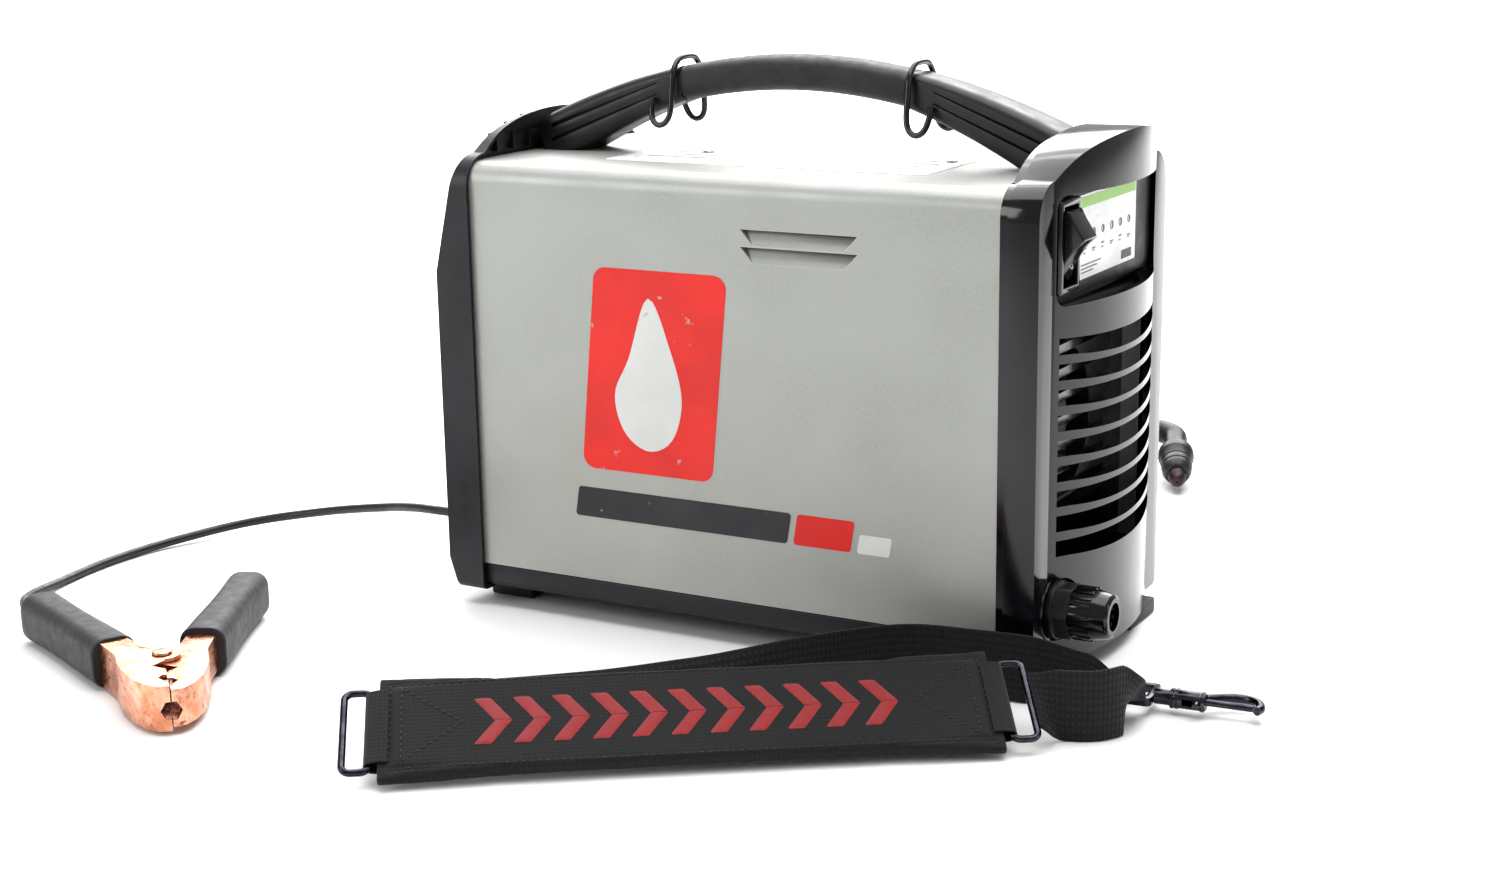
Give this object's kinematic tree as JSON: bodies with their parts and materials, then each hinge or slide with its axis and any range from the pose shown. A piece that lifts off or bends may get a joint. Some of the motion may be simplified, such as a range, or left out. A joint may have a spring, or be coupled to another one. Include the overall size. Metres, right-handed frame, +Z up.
{
  "type": "portable plasma cutter",
  "caption": "Portable air plasma cutting machine with a carry handle, work clamp on its lead, torch on a coiled lead and a padded shoulder strap.",
  "frame": {"origin": "on the floor under the middle of the machine, where its feet stand", "axes": "+X along the machine towards the end with the power switch, +Y away from the side seen first, +Z up"},
  "size_m": [0.7593, 0.7836, 0.332],
  "materials": {
    "silver_powder_coat": "fine silver-grey powder coat, satin",
    "gloss_black_plastic": "gloss blue-black moulding",
    "matte_black_plastic": "fine-grained black moulding",
    "black_rubber": "dull black rubber",
    "black_coated_wire": "black dip-coated steel wire",
    "copper_plate": "copper-plated pressed steel",
    "bright_steel": "bright steel",
    "galvanised_sheet": "galvanised sheet",
    "aluminium_casting": "cast and machined aluminium",
    "circuit_board": "green solder mask",
    "enamelled_copper": "enamelled copper wire",
    "printed_label": "printed film label",
    "indicator_lens": "clear tinted lens",
    "black_webbing": "black woven nylon",
    "gunmetal_plate": "dark nickel plate",
    "brass_fitting": "turned brass"
  },
  "bodies": {
    "machine": {"cover": "silver_powder_coat", "base_pan": "matte_black_plastic", "switch_end_cap": "gloss_black_plastic", "lead_end_cap": "matte_black_plastic", "foot_switch_near": "black_rubber", "foot_switch_far": "black_rubber", "foot_lead_near": "black_rubber", "foot_lead_far": "black_rubber", "handle_core": "matte_black_plastic", "handle_grip": "black_rubber", "hanger_lead_end": "black_coated_wire", "hanger_switch_end": "black_coated_wire", "switch_housing": "matte_black_plastic", "rating_label": "printed_label", "gland_body": "matte_black_plastic", "gland_nut": "gloss_black_plastic", "gland_seal": "black_rubber", "control_panel": "matte_black_plastic", "indicator_lens": "indicator_lens", "divider": "galvanised_sheet", "power_board": "circuit_board", "heatsink": "aluminium_casting", "transformer_core": "bright_steel", "transformer_winding": "enamelled_copper", "fan_bulkhead": "galvanised_sheet", "fan_frame": "matte_black_plastic", "compressor_bracket": "galvanised_sheet", "compressor_motor": "bright_steel", "compressor_block": "aluminium_casting", "compressor_head": "aluminium_casting", "air_line": "black_rubber", "air_valve": "brass_fitting", "work_lead_relief": "black_rubber", "work_lead": "black_rubber", "clamp_lever_fixed": "copper_plate", "clamp_sleeve_fixed": "black_rubber", "clamp_pin": "bright_steel", "clamp_spring": "bright_steel", "torch_lead_relief": "black_rubber", "torch_lead": "black_rubber", "torch_lead_coil": "black_rubber", "torch_lead_end": "black_rubber", "torch_handle": "matte_black_plastic", "torch_head": "matte_black_plastic", "torch_retaining_cap": "matte_black_plastic", "torch_nozzle": "brass_fitting", "strap_pad": "black_webbing", "strap_webbing_back": "black_webbing", "strap_webbing_front": "black_webbing", "strap_ring_lead_side": "gunmetal_plate", "strap_ring_switch_side": "gunmetal_plate", "hook_eye": "gunmetal_plate"},
    "rocker": {"power_rocker": "gloss_black_plastic"},
    "knob": {"current_knob": "matte_black_plastic"},
    "fan": {"fan_rotor": "matte_black_plastic"},
    "clamp_jaw": {"clamp_lever_moving": "copper_plate", "clamp_sleeve_moving": "black_rubber"},
    "trigger": {"torch_trigger": "gloss_black_plastic"},
    "snap_hook": {"hook_body": "gunmetal_plate"},
    "snap_bolt": {"hook_bolt": "gunmetal_plate"}
  },
  "joints": [
    {"name": "power_switch", "type": "hinge", "parent": "machine", "child": "rocker", "pos_m": [0.175, -0.06075, 0.24], "axis": [0, -1, 0], "range_deg": [0, 16]},
    {"name": "current_setting", "type": "hinge", "parent": "machine", "child": "knob", "pos_m": [-0.1975, 0.022, 0.161], "axis": [-1, 0, 0], "range_deg": [0, 270]},
    {"name": "fan_spin", "type": "hinge", "parent": "machine", "child": "fan", "pos_m": [0.13975, 0, 0.1295], "axis": [1, 0, 0], "continuous": true},
    {"name": "clamp_pivot", "type": "hinge", "parent": "machine", "child": "clamp_jaw", "pos_m": [-0.2426, -0.3158, 0.015], "axis": [0, 0, 1], "range_deg": [0, 28], "stiffness_Nm_per_rad": 0.3, "springref_deg": -34.38},
    {"name": "torch_trigger_pivot", "type": "hinge", "parent": "machine", "child": "trigger", "pos_m": [0.00815, 0.38492, 0.02244], "axis": [-0.0284, -0.3005, 0.9534], "range_deg": [0, 5], "stiffness_Nm_per_rad": 0.005, "springref_deg": -8.02},
    {"name": "hook_swivel", "type": "hinge", "parent": "machine", "child": "snap_hook", "pos_m": [0.24826, -0.08672, 0.008], "axis": [0.9976, 0.0698, 0], "continuous": true},
    {"name": "hook_bolt_slide", "type": "slide", "parent": "snap_hook", "child": "snap_bolt", "axis": [-0.9976, -0.0698, 0], "range_m": [0, 0.006], "stiffness_N_per_m": 20, "springref_m": -0.002}
  ]
}
